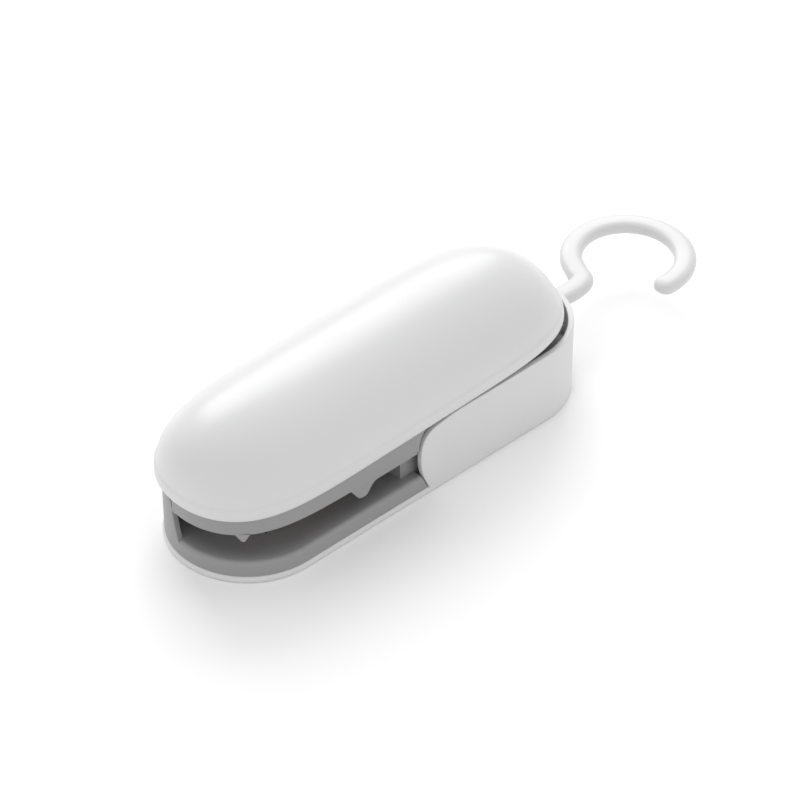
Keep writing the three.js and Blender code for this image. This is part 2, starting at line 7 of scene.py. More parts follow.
import bmesh
import bpy
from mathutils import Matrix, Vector


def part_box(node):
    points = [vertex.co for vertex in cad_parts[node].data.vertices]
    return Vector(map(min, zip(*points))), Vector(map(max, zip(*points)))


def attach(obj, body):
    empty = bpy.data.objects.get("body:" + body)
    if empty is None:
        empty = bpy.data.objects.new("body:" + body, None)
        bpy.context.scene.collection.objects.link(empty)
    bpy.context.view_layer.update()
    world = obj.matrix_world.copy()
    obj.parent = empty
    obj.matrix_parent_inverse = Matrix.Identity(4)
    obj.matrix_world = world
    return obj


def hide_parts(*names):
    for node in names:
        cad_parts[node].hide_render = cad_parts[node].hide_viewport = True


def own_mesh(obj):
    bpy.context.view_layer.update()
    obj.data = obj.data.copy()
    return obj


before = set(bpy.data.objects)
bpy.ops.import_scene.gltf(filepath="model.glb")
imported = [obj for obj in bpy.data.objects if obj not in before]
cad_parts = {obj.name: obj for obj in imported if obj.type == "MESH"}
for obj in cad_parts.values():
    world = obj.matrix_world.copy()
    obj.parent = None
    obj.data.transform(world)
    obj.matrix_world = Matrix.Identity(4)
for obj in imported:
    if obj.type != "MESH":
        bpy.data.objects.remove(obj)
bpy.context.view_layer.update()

MM = 0.001


def node_box(node):
    """Lowest and highest corner of a CAD node, in millimetres."""
    low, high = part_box(node)
    return low / MM, high / MM


def node_centre(node):
    """Middle of a CAD node in plan, in millimetres."""
    low, high = node_box(node)
    return (low.x + high.x) / 2, (low.y + high.y) / 2


# ---- driving sizes: taken from the frame, or the wall sections that go with it ---------

CASE_HIGH = node_box("base_shell")[1]
COVER_LOW, COVER_HIGH = node_box("top_cover")
DOOR_LOW, DOOR_HIGH = node_box("battery_door")
HOOK_LOW, HOOK_HIGH = node_box("hook")
PIN_LOW, PIN_HIGH = node_box("hinge_pin")
BLOCK_LOW, BLOCK_HIGH = node_box("heater_block")

FAR, WIDE, HIGH = 70, 30, 50  # past every piece along X, Y and Z
HAIR = 0.03                   # keeps faces of joined solids off one plane
GAP = 0.3                     # clearance between pieces
WALL = 1.5
FLOOR = 1.9
HALF_LENGTH = CASE_HIGH.x
HALF_WIDTH = CASE_HIGH.y
TAIL_TOP = CASE_HIGH.z
CHEEK_FRONT, CHEEK_REACH = -3.1, 25

COVER_X = (COVER_LOW.x + COVER_HIGH.x) / 2
COVER_HALF_LENGTH = (COVER_HIGH.x - COVER_LOW.x) / 2
COVER_HALF_WIDTH = COVER_HIGH.y
NOSE_RIM = COVER_LOW.z + 0.04
RIM_RISE = 0.0313
LIP = 1.0
DOME = 17.3

JAW_EDGE, JAW_INSIDE = 0.35, WALL + 0.7
DECK_LOW, DECK_TOP = 3.4, 5.2
LIP_TOP = 6.0
GUARD_TOP = 15.8
BAY_FRONT, BAY_REAR = -4.8, 50.3
BAY_DECK_LOW, BAY_DECK_TOP = 17.2, 18.4
DECK_END, DECK_NOTCH, DECK_NOTCH_HALF = 50.8, 45.8, 11.5
CASE_LUG = 11.6, 1.5
SIDE_WALL, SIDE_TURN, SIDE_END = -16.6, 0.2, 1.4

FRAME_BOTTOM = 14.2
FRAME_OPEN, FRAME_WALL, FRAME_GUARD = 1.1, 2.2, 2.3
PLATE_LOW, REAR_LOW, SHEET = 16.6, 20.6, 1.4
CHEEK_INSIDE = 18.1
FRAME_END, FRAME_NOTCH, FRAME_NOTCH_HALF = 51.6, 45.6, 11.3

PIN_X = (PIN_LOW.x + PIN_HIGH.x) / 2
PIN_Z = (PIN_LOW.z + PIN_HIGH.z) / 2
PIN_RADIUS = PIN_HIGH.z - PIN_Z
LUG_RADIUS = 2.1

HOOK_Z = (HOOK_LOW.z + HOOK_HIGH.z) / 2
HOOK_BAR = HOOK_HIGH.z - HOOK_Z
HOOK_RADIUS, HOOK_HALF = 14.05, 2.8
HOOK_X = HOOK_HIGH.x - HOOK_HALF - HOOK_RADIUS
HOOK_START, HOOK_TIP = 146, -96
SHANK_END = 58.9
GROOVE_START, GROOVE_WIDTH, GROOVE_DEPTH = 54.9, 1.1, 0.7

SCREW_RADIUS, SCREW_HEAD, SCREW_BOSS = 1.25, 2.3, 3.2
LEAD_HOLE, SPRING_SEAT = 1.05, 1.9


# ---- camera, lights and floor ----------------------------------------------------------

def make_camera():
    """Long lens from the nose end of the open side, looking down at about 39 degrees."""
    spot = Vector((-421.1, -457.7, 520.3)) * MM
    target = Vector((1.256, -8.153, 20)) * MM
    data = bpy.data.cameras.new("camera")
    data.sensor_width = 36
    data.lens = 155.05
    data.clip_start = 0.05
    data.clip_end = 20
    camera = bpy.data.objects.new("camera", data)
    bpy.context.collection.objects.link(camera)
    aim(camera, spot, target)
    bpy.context.scene.camera = camera


def aim(thing, spot, target):
    """Puts a camera or a light at a spot, facing its target; both are in metres."""
    spot, target = Vector(spot), Vector(target)
    thing.location = spot
    thing.rotation_mode = "QUATERNION"
    thing.rotation_quaternion = (target - spot).to_track_quat("-Z", "Y")


def soft_box(name, spot, target, size, watts):
    """A rectangular area light; its spot, target and size are in metres."""
    data = bpy.data.lights.new(name, "AREA")
    data.shape = "RECTANGLE"
    data.size, data.size_y = size
    data.energy = watts
    light = bpy.data.objects.new(name, data)
    bpy.context.collection.objects.link(light)
    aim(light, spot, target)


def make_world():
    world = bpy.data.worlds.new("studio")
    world.use_nodes = True
    background = world.node_tree.nodes["Background"]
    background.inputs["Color"].default_value = (1, 1, 1, 1)
    background.inputs["Strength"].default_value = 0.93
    bpy.context.scene.world = world


def make_floor():
    material = bpy.data.materials.new("floor_white")
    material.use_nodes = True
    shader = material.node_tree.nodes["Principled BSDF"]
    shader.inputs["Base Color"].default_value = (0.95, 0.95, 0.95, 1)
    shader.inputs["Roughness"].default_value = 0.9
    half = 3000
    corners = [(-half, -half, 0), (half, -half, 0), (half, half, 0), (-half, half, 0)]
    floor = new_piece("floor", corners, [(0, 1, 2, 3)])
    floor.data.materials.append(material)


def make_studio():
    make_camera()
    make_world()
    make_floor()
    soft_box("key", (0.44, 0.62, 0.585), (0, 0, 0.02), (0.8, 0.6), 5.1)
    scene = bpy.context.scene
    scene.view_settings.view_transform = "Standard"
    scene.view_settings.look = "None"


# ---- meshes ------------------------------------------------------------------------------

def new_piece(name, points, faces):
    """An object from points in millimetres and faces."""
    mesh = bpy.data.meshes.new(name)
    mesh.from_pydata([Vector(p) * MM for p in points], [], faces)
    mesh.validate()
    mesh.update()
    piece = bpy.data.objects.new(name, mesh)
    bpy.context.collection.objects.link(piece)
    return piece


def skin(rings, closed=False):
    """Faces between rings of equal length, either capped at both ends or closed in a loop."""
    count = len(rings[0])
    points = [p for ring in rings for p in ring]
    pairs = [(i, i + 1) for i in range(len(rings) - 1)]
    if closed:
        pairs.append((len(rings) - 1, 0))
    faces = []
    for low, high in pairs:
        for i in range(count):
            j = (i + 1) % count
            faces.append((low * count + i, low * count + j, high * count + j, high * count + i))
    if not closed:
        faces.append(tuple(reversed(range(count))))
        faces.append(tuple(range(len(points) - count, len(points))))
    return points, faces


AXES = {"x": (1, 2, 0), "y": (0, 2, 1), "z": (0, 1, 2)}


def prism(points, start, end, axis="z", name="solid"):
    """A flat outline pushed along an axis. The outline's two numbers are the other two axes."""
    u, v, w = AXES[axis]
    rings = []
    for level in (start, end):
        ring = []
        for a, b in points:
            place = [0, 0, 0]
            place[u], place[v], place[w] = a, b, level
            ring.append(place)
        rings.append(ring)
    solid = new_piece(name, *skin(rings))
    face_out(solid)
    return solid


def face_out(piece):
    """Turns every face of a closed piece outwards."""
    work = bmesh.new()
    work.from_mesh(piece.data)
    bmesh.ops.recalc_face_normals(work, faces=work.faces)
    work.to_mesh(piece.data)
    work.free()


def ring_solid(outline, section):
    """A ring: an outline at each depth and height of a closed section, skinned together."""
    rings = [[(x, y, z) for x, y in outline(depth)] for depth, z in section]
    ring = new_piece("ring", *skin(rings, closed=True))
    face_out(ring)
    return ring


def block(x0, y0, z0, x1, y1, z1):
    return prism([(x0, y0), (x1, y0), (x1, y1), (x0, y1)], z0, z1)


def circle(radius, count=48):
    turn = 2 * math.pi / count
    return [(radius * math.cos(turn * i), radius * math.sin(turn * i)) for i in range(count)]


def rod(axis, start, length, radius, count=48):
    """A cylinder that starts at a point and runs along an axis."""
    u, v, w = AXES[axis]
    outline = [(start[u] + a, start[v] + b) for a, b in circle(radius, count)]
    return prism(outline, start[w], start[w] + length, axis)


def combine(first, others, operation):
    """Joins to, cuts from or keeps within the first solid, and uses up the others."""
    for other in others:
        step = first.modifiers.new("combine", "BOOLEAN")
        step.operation = operation
        step.solver = "EXACT"
        step.object = other
        settle(first)
        bpy.data.objects.remove(other)
    return first


def join(first, *others):
    return combine(first, others, "UNION")


def cut(first, *others):
    return combine(first, others, "DIFFERENCE")


def keep(first, *others):
    return combine(first, others, "INTERSECT")


def settle(piece):
    """Replaces a piece's mesh by what its modifiers make of it."""
    graph = bpy.context.evaluated_depsgraph_get()
    result = bpy.data.meshes.new_from_object(piece.evaluated_get(graph))
    piece.modifiers.clear()
    piece.data = result
    return piece


def round_edges(piece, width, segments=3, angle=38):
    """Rounds the edges of a plain solid, before small features are joined to it or cut."""
    bevel = piece.modifiers.new("round_edges", "BEVEL")
    bevel.width = width * MM
    bevel.segments = segments
    bevel.limit_method = "ANGLE"
    bevel.angle_limit = math.radians(angle)
    return settle(piece)


def crisp(piece, angle=32):
    """Smooth shading that breaks at the sharp edges, for a mesh whose rounds are modelled."""
    shade_smooth(piece)
    piece.data.set_sharp_from_angle(angle=math.radians(angle))


def shade_smooth(piece):
    for face in piece.data.polygons:
        face.use_smooth = True


def place(piece, name, body, slot, material, *nodes):
    """Names a finished piece, gives it its finish, and puts it on its body."""
    piece.name = name
    piece.data.name = name
    piece.data.materials.clear()
    piece.data.materials.append(material)
    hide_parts(*nodes)
    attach(piece, body)
    return piece


# ---- outlines ------------------------------------------------------------------------------

def stadium(inset, steps=40):
    """Straight sides with round ends, inset from the case's outline."""
    radius = HALF_WIDTH - inset
    centre = HALF_LENGTH - HALF_WIDTH
    points = []
    for end in (1, -1):
        for i in range(steps + 1):
            angle = math.pi * (i / steps - 0.5)
            points.append((end * (centre + radius * math.cos(angle)), end * radius * math.sin(angle)))
    return points


def signed_power(value, power):
    return math.copysign(abs(value) ** power, value)


def cover_outline(inset, count=144, power=6):
    """A superellipse, blunt at both ends and full along the sides."""
    a = COVER_HALF_LENGTH - inset
    b = COVER_HALF_WIDTH - inset
    points = []
    for i in range(count):
        angle = 2 * math.pi * i / count
        x = COVER_X + a * signed_power(math.cos(angle), 2 / power)
        points.append((x, b * math.sin(angle)))
    return points


def rim_height(x):
    """Height of the cover's lower edge, which climbs towards the tail."""
    return NOSE_RIM + (x + HALF_LENGTH) * RIM_RISE


def bezier(p0, p1, p2, p3, steps=16):
    """Points of a cubic curve after its first one."""
    points = []
    for i in range(1, steps + 1):
        t = i / steps
        s = 1 - t
        weights = (s ** 3, 3 * s * s * t, 3 * s * t * t, t ** 3)
        points.append(tuple(sum(w * p[k] for w, p in zip(weights, (p0, p1, p2, p3))) for k in (0, 1)))
    return points


def cheek_profile(forward=0, up=0):
    """Side view of the case's high wall, with its round front edge and sloping shoulder."""
    x, top = CHEEK_FRONT, TAIL_TOP
    foot, belly = (x + 3.6, 0), (x, 11)
    shoulder, flat = (x + 4.4, top - 1), (x + 14, top)
    points = [foot]
    points += bezier(foot, (x + 2.2, 3.4), (x, 6.4), belly)
    points += bezier(belly, (x, 15.6), (x + 0.9, 17.6), shoulder)
    points += bezier(shoulder, (x + 6.4, top - 0.7), (x + 10, top), flat)
    points += [(2 * HALF_LENGTH, top), (2 * HALF_LENGTH, 0)]
    return [(px - forward, pz + up) for px, pz in points]


def behind_cheek(*sizes):
    """Everything under the cheek's profile, from one side of the case to the other."""
    return prism(cheek_profile(*sizes), -CHEEK_REACH, CHEEK_REACH, "y")


# ---- top cover ------------------------------------------------------------------------------

CREASE_UP, CREASE_STEP, CREASE_RUN = 2.7, 0.32, 0.5
NOSE_POWER, TAIL_POWER, SIDE_POWER = 3, 1.35, 1.9
COVER_POST = 3


def dome_fraction(x, y, inset):
    """How far up the dome the point of the skin over x, y lies: 0 at the lip, 1 at the top."""
    a, b = COVER_HALF_LENGTH - inset, COVER_HALF_WIDTH - inset
    low, high = 0.0, 1.0
    for _ in range(34):
        t = (low + high) / 2
        length = (1 - t ** (NOSE_POWER if x < 0 else TAIL_POWER)) ** (1 / 6)
        side = (1 - t ** SIDE_POWER) ** 0.5
        reach = abs(x / (a * length)) ** (6 - t) + (y / (b * side)) ** 2
        low, high = (low, t) if reach > 1 else (t, high)
    return low


def dome_rings(inset, rows, count):
    """Rings from the lip to just short of the top, close together where the skin is steep."""
    rings = []
    for row in range(rows):
        scale = math.sin((math.pi / 2) * (1 - (row / rows) ** 1.7))
        ring = []
        for px, py in cover_outline(inset, count):
            x, y = (px - COVER_X) * scale, py * scale
            climb = LIP + (DOME - inset) * (dome_fraction(x, y, inset) if row else 0)
            draw_in = CREASE_STEP * min(max((climb - CREASE_UP) / CREASE_RUN, 0), 1)
            x *= 1 - draw_in / COVER_HALF_LENGTH
            y *= 1 - draw_in / COVER_HALF_WIDTH
            ring.append((COVER_X + x, y, rim_height(COVER_X + x) + climb))
        rings.append(ring)
    return rings


def rim_ring(inset, up, count):
    return [(x, y, rim_height(x) + up) for x, y in cover_outline(inset, count)]


def dome_solid(inset, rows=24, count=72):
    rings = [rim_ring(inset, -2, count)] + dome_rings(inset, rows, count)
    solid = new_piece("dome", *skin(rings))
    face_out(solid)
    return solid


def make_top_cover():
    """One shell: dome outside, a rolled lower edge, the same dome inside, and the screw posts."""
    rows, count = 60, 144
    outside = dome_rings(0, rows, count)
    inside = dome_rings(WALL, rows // 2, count)
    edge = [(0, 0.35), (0.1, 0.12), (0.35, 0), (WALL - 0.25, 0), (WALL, 0.25)]
    rings = outside[::-1] + [rim_ring(inset, up, count) for inset, up in edge] + inside
    cover = new_piece("top_cover_fine", *skin(rings))
    face_out(cover)
    posts = []
    for i in (1, 2, 3):
        x, y = node_centre(f"cover_screw_{i}")
        foot = (PLATE_LOW if x < BAY_FRONT else REAR_LOW) + SHEET + GAP
        bore = rod("z", (x, y, foot - 1), 9, SCREW_RADIUS + GAP)
        post = cut(rod("z", (x, y, foot), 30, COVER_POST), bore)
        posts.append(keep(post, dome_solid(WALL / 2)))
    join(cover, *posts)
    shade_smooth(cover)
    place(cover, "cover_shell", "upper_jaw", "white_cover", gloss_white(), "top_cover")


# ---- lower case -----------------------------------------------------------------------------

BASE_SCREWS = [f"base_screw_{i}" for i in (1, 2, 3, 4)]
DOOR_HALF, TONGUE_HALF, TONGUE_LOW = 15, 16.1, 0.8
RAIL_START, RAIL_TOP = -0.3, 3
PAST_TAIL = 60
RIB_HALF, RIB_TOP = 12, 15.5
GRIPS, GRIP_START, GRIP_PITCH, GRIP_WIDTH, GRIP_DEPTH = 5, 40, 2.4, 1.2, 0.4


def floor_slab(low, high, roll=0.8):
    """The case's outline as a slab whose edges are rolled round."""
    rings = []
    for i in range(7):
        angle = math.pi / 2 * i / 6
        inset = roll * (1 - math.sin(angle))
        rings.append((inset, low + roll * (1 - math.cos(angle))))
    rings += [(inset, low + high - z) for inset, z in reversed(rings)]
    slab = new_piece("slab", *skin([[(x, y, z) for x, y in stadium(inset)] for inset, z in rings]))
    face_out(slab)
    return slab


def make_base_shell():
    """Floor, high cheek and tail wall, battery doorway with its grooves, and screw bosses."""
    wall = ring_solid(stadium, [(0, -1), (0, TAIL_TOP), (WALL, TAIL_TOP), (WALL, -1)])
    keep(wall, behind_cheek())
    round_edges(wall, 0.4, 4)
    keep(wall, block(-FAR, -WIDE, FLOOR / 2, FAR, WIDE, HIGH))
    shell = join(floor_slab(0, FLOOR), wall)
    rails = keep(prism(stadium(WALL - 0.1), 1, RAIL_TOP), block(RAIL_START, -20, 0, PAST_TAIL, 20, 4))
    join(shell, rails, block(BAY_REAR + GAP, -RIB_HALF, 1, BAY_REAR + WALL, RIB_HALF, RIB_TOP))
    for node in BASE_SCREWS:
        join(shell, rod("z", (*node_centre(node), 1), 1.6, SCREW_BOSS))
    half, groove = DOOR_HALF + GAP, TONGUE_HALF + GAP
    channel = DOOR_HIGH.z + GAP
    doorway = join(
        block(BAY_FRONT, -half, -1, BAY_REAR, half, RAIL_TOP + 1),
        block(BAY_FRONT + 2, -half, -1, PAST_TAIL, half, channel),
        block(BAY_FRONT + 1, -groove, TONGUE_LOW - 0.2, PAST_TAIL, groove, channel - 0.05),
    )
    cut(shell, doorway, rod("x", (53, 0, HOOK_Z), 10, HOOK_BAR + GAP))
    for node in BASE_SCREWS:
        x, y = node_centre(node)
        cut(shell, rod("z", (x, y, -1), 5, SCREW_RADIUS + GAP))
        cut(shell, rod("z", (x, y, -1), 2.3, SCREW_HEAD + GAP))
    crisp(shell)
    place(shell, "case_shell", "case", "white_case", satin_white(), "base_shell")


def make_battery_door():
    """Hatch with a tongue along each side and grip ribs near its tail end."""
    front = DOOR_LOW.x
    top = DOOR_HIGH.z
    door = join(
        block(front, -DOOR_HALF, 0, PAST_TAIL, DOOR_HALF, top),
        block(front + 1, -TONGUE_HALF, TONGUE_LOW, PAST_TAIL, TONGUE_HALF, top - 0.05),
    )
    round_edges(door, 0.15, 2)
    keep(door, floor_slab(0, FLOOR))
    for i in range(GRIPS):
        x = GRIP_START + GRIP_PITCH * i
        cut(door, block(x, -7, -1, x + GRIP_WIDTH, 7, GRIP_DEPTH))
    crisp(door)
    place(door, "battery_hatch", "battery_door", "white_case", satin_white(), "battery_door")


def lip_solid():
    """The lower jaw's edge: a soft round top that falls away gently to the deck inside."""
    width, dish, round_off = 2.2, 8.5, 1.1
    foot, under = FLOOR + 0.02, DECK_LOW + 0.2
    section = [(JAW_EDGE, foot), (JAW_EDGE, LIP_TOP - round_off)]
    for i in range(1, 7):
        angle = math.pi / 2 * i / 6
        depth = JAW_EDGE + round_off * (1 - math.cos(angle))
        section.append((depth, LIP_TOP - round_off * (1 - math.sin(angle))))
    start = JAW_EDGE + round_off
    for i in range(1, 11):
        share = i / 10
        fall = (LIP_TOP - DECK_TOP) * (3 * share ** 2 - 2 * share ** 3)
        section.append((start + (dish - start) * share, LIP_TOP - fall))
    section += [(dish, under), (JAW_EDGE + width, under), (JAW_EDGE + width, foot)]
    return ring_solid(stadium, section)


def lug_pair(y, width, foot):
    """Two lugs, one on each side, round the hinge pin and standing on a foot level."""
    pair = []
    for start in (-y - width, y):
        post = block(PIN_X - LUG_RADIUS, start, min(foot, PIN_Z),
                     PIN_X + LUG_RADIUS, start + width, max(foot, PIN_Z))
        pair.append(join(rod("y", (PIN_X, start, PIN_Z), width, LUG_RADIUS), post))
    return pair


def make_lower_jaw():
    """Edge lip, jaw deck with the heater pocket, film-stop wall, and the deck over the cells."""
    guard_end = [(1, DECK_LOW), (1.9, 5.4), (2.7, 7.4), (3.4, 9.6), (4, 12), (4.4, 14.2),
                 (4.6, GUARD_TOP), (21, GUARD_TOP), (21, DECK_LOW)]
    guard = cut(prism(stadium(JAW_EDGE), DECK_LOW, GUARD_TOP), prism(stadium(JAW_EDGE + 1.4), 0, 20))
    keep(guard, prism(guard_end, -60, 4, "x"))
    round_edges(guard, 0.45, 4)
    jaw = cut(join(lip_solid(), guard), behind_cheek(GAP))
    rear = BAY_FRONT - GAP
    deck = keep(prism(stadium(JAW_INSIDE), DECK_LOW, DECK_TOP),
                block(-FAR, -WIDE, 0, rear, WIDE, HIGH))
    bulkhead = keep(prism(stadium(JAW_INSIDE), DECK_LOW, BAY_DECK_TOP),
                    block(rear - WALL, SIDE_WALL + HAIR, 0, rear, WIDE, HIGH))
    bay_deck = keep(prism(stadium(JAW_INSIDE), BAY_DECK_LOW, BAY_DECK_TOP),
                    block(BAY_FRONT - 1, -WIDE, 0, DECK_END, WIDE, HIGH))
    cut(bay_deck, block(DECK_NOTCH, -DECK_NOTCH_HALF, 0, FAR, DECK_NOTCH_HALF, HIGH))
    low, high = DECK_LOW + HAIR, BAY_DECK_TOP - HAIR
    side_wall = join(
        block(rear - 1, SIDE_WALL, low, SIDE_END, SIDE_WALL + 1.2, high),
        block(SIDE_TURN, JAW_INSIDE - HALF_WIDTH, low + HAIR,
              SIDE_END - HAIR, SIDE_WALL + 0.6, high - HAIR),
    )
    join(jaw, deck, bulkhead, bay_deck, side_wall,
         rod("z", (*node_centre("return_spring"), DECK_TOP - 0.5), 3, SPRING_SEAT))
    for node in BASE_SCREWS:
        join(jaw, rod("z", (*node_centre(node), DECK_LOW - 0.5), 1.5, SCREW_BOSS))
    for lug in lug_pair(*CASE_LUG, BAY_DECK_LOW):
        join(jaw, keep(lug, prism(stadium(JAW_INSIDE), 0, HIGH)))
    cut(jaw, rod("y", (PIN_X, -WIDE, PIN_Z), 2 * WIDE, PIN_RADIUS + GAP))
    cut(jaw, block(BLOCK_LOW.x - GAP, BLOCK_LOW.y - GAP, DECK_TOP - 1,
                   BLOCK_HIGH.x + GAP, BLOCK_HIGH.y + GAP, 20))
    heater_y = (BLOCK_LOW.y + BLOCK_HIGH.y) / 2
    switch_x, switch_y = node_centre("switch_plunger")
    for x, y in [(BLOCK_LOW.x - 1.6, heater_y), (BLOCK_HIGH.x + 1.6, heater_y),
                 (switch_x, switch_y - 2), (switch_x, switch_y + 2)]:
        cut(jaw, rod("z", (x, y, 0), 9, LEAD_HOLE))
    for node in BASE_SCREWS:
        cut(jaw, rod("z", (*node_centre(node), 0), 4.9, SCREW_RADIUS + GAP))
    crisp(jaw)
    place(jaw, "lower_jaw", "case", "grey_frame", grey_plastic(), "lower_jaw_frame")


# ---- upper jaw ------------------------------------------------------------------------------

SPLIT_OPEN, SPLIT_GUARD = 3.2, 2.6
UPPER_LUG = 9.1, 2.1
WEB_X, WEB_Y = (-60, -54), (1.8, 2.9)
RISER_SIDE = -17.4
PUSHER = 2.6


def two_sided(open_half, guard_half):
    """Half of each solid: one follows the cover, the other stays inside the film stop."""
    keep(open_half, block(-FAR, -WIDE, -1, FAR, SPLIT_OPEN, HIGH))
    keep(guard_half, block(-FAR, SPLIT_GUARD, -1, FAR, WIDE, HIGH))
    return join(open_half, guard_half)


def jaw_solid(open_inset, guard_inset, low, high):
    return two_sided(prism(cover_outline(open_inset), low, high),
                     prism(stadium(guard_inset), low, high))


def skirt_ring(outline, inset, wall):
    """A hanging wall with a rolled lower edge."""
    roll, top = 0.45, 23
    section = [(inset, top), (inset, FRAME_BOTTOM + roll)]
    for i in range(1, 6):
        angle = math.pi / 2 * i / 5
        depth = inset + roll * (1 - math.cos(angle))
        section.append((depth, FRAME_BOTTOM + roll * (1 - math.sin(angle))))
    inside = inset + wall
    section += [(inside - 0.2, FRAME_BOTTOM), (inside, FRAME_BOTTOM + 0.2), (inside, top)]
    return ring_solid(outline, section)


def film_tooth():
    """Tooth on the long side; the skirt is a little deeper from it to the tail."""
    profile = [(-24.9, 0.6), (-24.6, 0.1), (-24, -0.7), (-22.4, -2.9), (-21.9, -3.35),
               (-21.2, -3.55), (-20.3, -3.6), (-19.7, -3.45), (-19.2, -3), (-18.4, -1.9),
               (-17.9, -1.3), (-17.2, -0.85), (-16.4, -0.65), (-3.9, -0.6), (-3.9, 0.6)]
    outline = [(x, FRAME_BOTTOM + z) for x, z in profile]
    return round_edges(prism(outline, -19.62, -17.9, "y"), 0.2)


def nose_pip():
    """Small three-sided point under the skirt at the nose."""
    tip, root = FRAME_BOTTOM - 1.7, FRAME_BOTTOM + 0.5
    rings = [
        [(-52.4, -13.8, tip), (-51.9, -14.3, tip), (-51.5, -13.7, tip)],
        [(-53.6, -12.6, root), (-51.2, -15.3, root), (-50, -12.6, root)],
    ]
    pip = new_piece("pip", *skin(rings))
    face_out(pip)
    return pip


def make_upper_jaw():
    """Skirt with its tooth and pip, the two plates, the hinge lugs, pusher and spring seat."""
    step = BAY_FRONT - GAP - WALL - 1
    rear_top = REAR_LOW + SHEET
    upper = two_sided(skirt_ring(cover_outline, FRAME_OPEN, FRAME_WALL),
                      skirt_ring(stadium, FRAME_GUARD, 1.6))
    web = keep(prism(cover_outline(FRAME_OPEN), FRAME_BOTTOM, PLATE_LOW + 1),
               block(WEB_X[0], WEB_Y[0], 0, WEB_X[1], WEB_Y[1], HIGH))
    insets = FRAME_OPEN + 1.5, FRAME_GUARD + 0.7
    front = keep(jaw_solid(*insets, PLATE_LOW, PLATE_LOW + SHEET),
                 block(-FAR, -WIDE, 0, step, WIDE, HIGH))
    rear = keep(prism(stadium(FRAME_GUARD + 0.1), REAR_LOW, rear_top),
                block(step - 2, -WIDE, 0, FRAME_END, WIDE, HIGH))
    riser = keep(jaw_solid(*insets, PLATE_LOW + 0.1, REAR_LOW + 1),
                 block(step - 1.5, RISER_SIDE, 0, step - 0.05, WIDE, HIGH))
    pusher_length = PLATE_LOW - FRAME_BOTTOM + 0.5
    pusher = rod("z", (*node_centre("switch_plunger"), FRAME_BOTTOM), pusher_length, PUSHER)
    seat = rod("z", (*node_centre("return_spring"), PLATE_LOW - 2.4), 3, SPRING_SEAT)
    join(upper, web, front, rear, riser, *lug_pair(*UPPER_LUG, REAR_LOW + 0.4), pusher, seat,
         film_tooth(), nose_pip())
    above_rim = [(-FAR, rim_height(-FAR) - GAP), (FAR, rim_height(FAR) - GAP),
                 (FAR, HIGH), (-FAR, HIGH)]
    inside_cover = prism(cover_outline(WALL + GAP), 0, HIGH + 1)
    cover_zone = cut(prism(above_rim, -WIDE, WIDE, "y"), inside_cover)
    cheek_zone = cut(behind_cheek(0.6, 1.8),
                     block(-FAR, -CHEEK_INSIDE, 0, FAR, CHEEK_INSIDE, HIGH + 1))
    cut(upper,
        block(step, -CHEEK_INSIDE, 0, FAR, WIDE, REAR_LOW),
        block(CHEEK_FRONT + 6, -WIDE, 0, FAR, WIDE, REAR_LOW),
        cheek_zone, cover_zone,
        block(-FAR, -WIDE, rear_top + 0.2, FAR, WIDE, HIGH),
        block(FRAME_END, -WIDE, 0, FAR, WIDE, HIGH),
        block(FRAME_NOTCH, FRAME_NOTCH_HALF, 0, FAR, WIDE, HIGH),
        block(FRAME_NOTCH, -WIDE, 0, FAR, -FRAME_NOTCH_HALF, HIGH),
        rod("y", (PIN_X, -WIDE, PIN_Z), 2 * WIDE, PIN_RADIUS + GAP))
    for i in (1, 2, 3):
        cut(upper, rod("z", (*node_centre(f"cover_screw_{i}"), 0), HIGH, SCREW_RADIUS + GAP))
    crisp(upper)
    place(upper, "upper_jaw_skirt", "upper_jaw", "grey_frame", grey_plastic(), "upper_jaw_frame")


# ---- return spring --------------------------------------------------------------------------

SPRING_TURNS, SPRING_WIRE, JAW_TRAVEL = 5, 0.35, 1.5


def make_return_spring():
    """Coil that holds the jaws apart, built at the length of its CAD node."""
    low, high = node_box("return_spring")
    x, y = node_centre("return_spring")
    radius = (high.x - low.x) / 2 - SPRING_WIRE
    start, end = low.z + SPRING_WIRE, high.z - SPRING_WIRE
    steps = SPRING_TURNS * 32
    rings = []
    for i in range(steps + 1):
        angle = 2 * math.pi * SPRING_TURNS * i / steps
        level = start + (end - start) * i / steps
        ring = []
        for across, up in circle(SPRING_WIRE, 12):
            out = radius + across
            ring.append((x + out * math.cos(angle), y + out * math.sin(angle), level + up))
        rings.append(ring)
    spring = new_piece("spring_fine", *skin(rings))
    face_out(spring)
    crisp(spring, 50)
    wire = metal("spring_wire", (0.5, 0.5, 0.52), 0.25)
    place(spring, "jaw_spring", "case", "spring_steel", wire, "return_spring")
    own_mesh(spring)


# ---- hook -----------------------------------------------------------------------------------

def hook_path():
    """Centre line of the hook in plan: shank, tight bend back, then most of a circle."""
    points = [(58.4, 0), (63, 0), (67.4, 0), (70.9, 1.1), (72.3, 4.1)]
    steps = 30
    for i in range(steps + 1):
        angle = math.radians(HOOK_START + (HOOK_TIP - HOOK_START) * i / steps)
        points.append((HOOK_X + HOOK_RADIUS * math.cos(angle), HOOK_RADIUS * math.sin(angle)))
    return points


def smooth_through(points, steps=6):
    """A centripetal Catmull-Rom line through points, in plan."""
    ends = [tuple(2 * a - b for a, b in zip(points[0], points[1]))]
    ends += points
    ends.append(tuple(2 * a - b for a, b in zip(points[-1], points[-2])))
    line = []
    for p0, p1, p2, p3 in zip(ends, ends[1:], ends[2:], ends[3:]):
        knots = [0]
        for a, b in ((p0, p1), (p1, p2), (p2, p3)):
            knots.append(knots[-1] + math.dist(a, b) ** 0.5)
        for i in range(steps):
            t = knots[1] + (knots[2] - knots[1]) * i / steps
            line.append(catmull(p0, p1, p2, p3, knots, t))
    line.append(points[-1])
    return line


